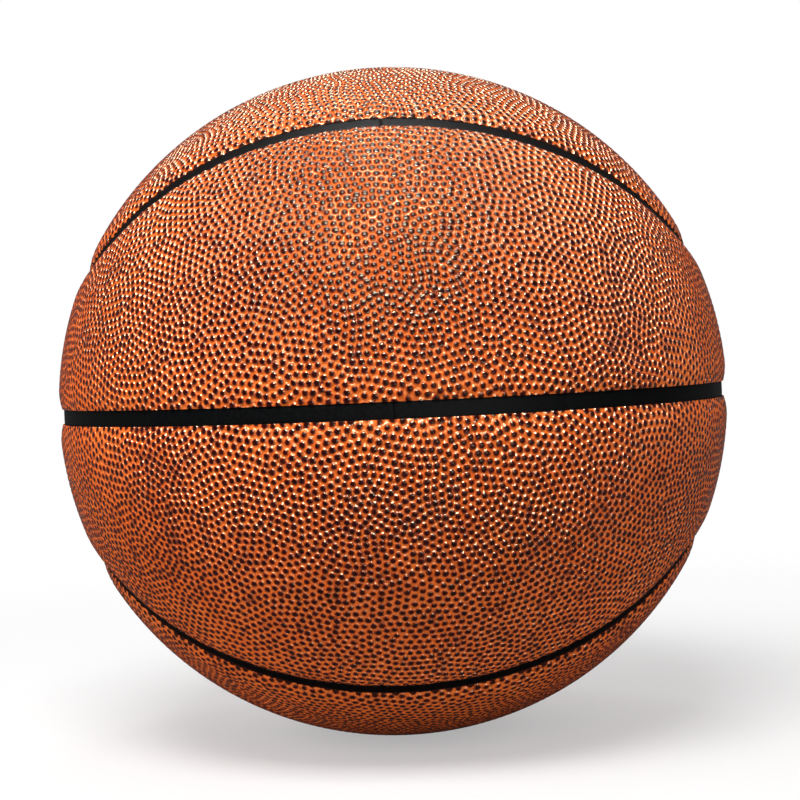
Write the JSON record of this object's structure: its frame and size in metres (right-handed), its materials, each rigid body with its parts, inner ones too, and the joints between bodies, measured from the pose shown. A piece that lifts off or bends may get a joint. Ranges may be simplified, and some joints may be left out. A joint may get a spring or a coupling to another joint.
{
  "type": "basketball",
  "caption": "Inflatable basketball with pebbled orange panels, recessed black seam strips and a rubber needle valve over a wound carcass and bladder.",
  "frame": {"origin": "centre of the ball", "axes": "+Z through the pole inside the upper loop seam; -Y towards the front, between the two long front panels; +X where the middle seam and the pole seam cross"},
  "size_m": [0.2406, 0.2414, 0.2414],
  "materials": {
    "cover_leather": "pebbled, satin",
    "seam_rubber": "smooth, satin",
    "valve_rubber": "smooth, matt",
    "carcass_rubber": "matt",
    "winding_yarn": "wound yarn",
    "bladder_rubber": "matt"
  },
  "bodies": {
    "root": {"front_upper_panel": "cover_leather", "front_lower_panel": "cover_leather", "back_upper_panel": "cover_leather", "back_lower_panel": "cover_leather", "top_front_panel": "cover_leather", "top_back_panel": "cover_leather", "bottom_front_panel": "cover_leather", "bottom_back_panel": "cover_leather", "middle_strip_left": "seam_rubber", "middle_strip_right": "seam_rubber", "upper_loop_strip_left": "seam_rubber", "upper_loop_strip_right": "seam_rubber", "lower_loop_strip_left": "seam_rubber", "lower_loop_strip_right": "seam_rubber", "upper_side_strip_left": "seam_rubber", "upper_side_strip_right": "seam_rubber", "lower_side_strip_left": "seam_rubber", "lower_side_strip_right": "seam_rubber", "top_pole_strip": "seam_rubber", "bottom_pole_strip": "seam_rubber", "bladder": "bladder_rubber", "thread_winding": "winding_yarn", "carcass": "carcass_rubber", "valve_housing": "valve_rubber", "valve_core": "valve_rubber"}
  },
  "joints": []
}
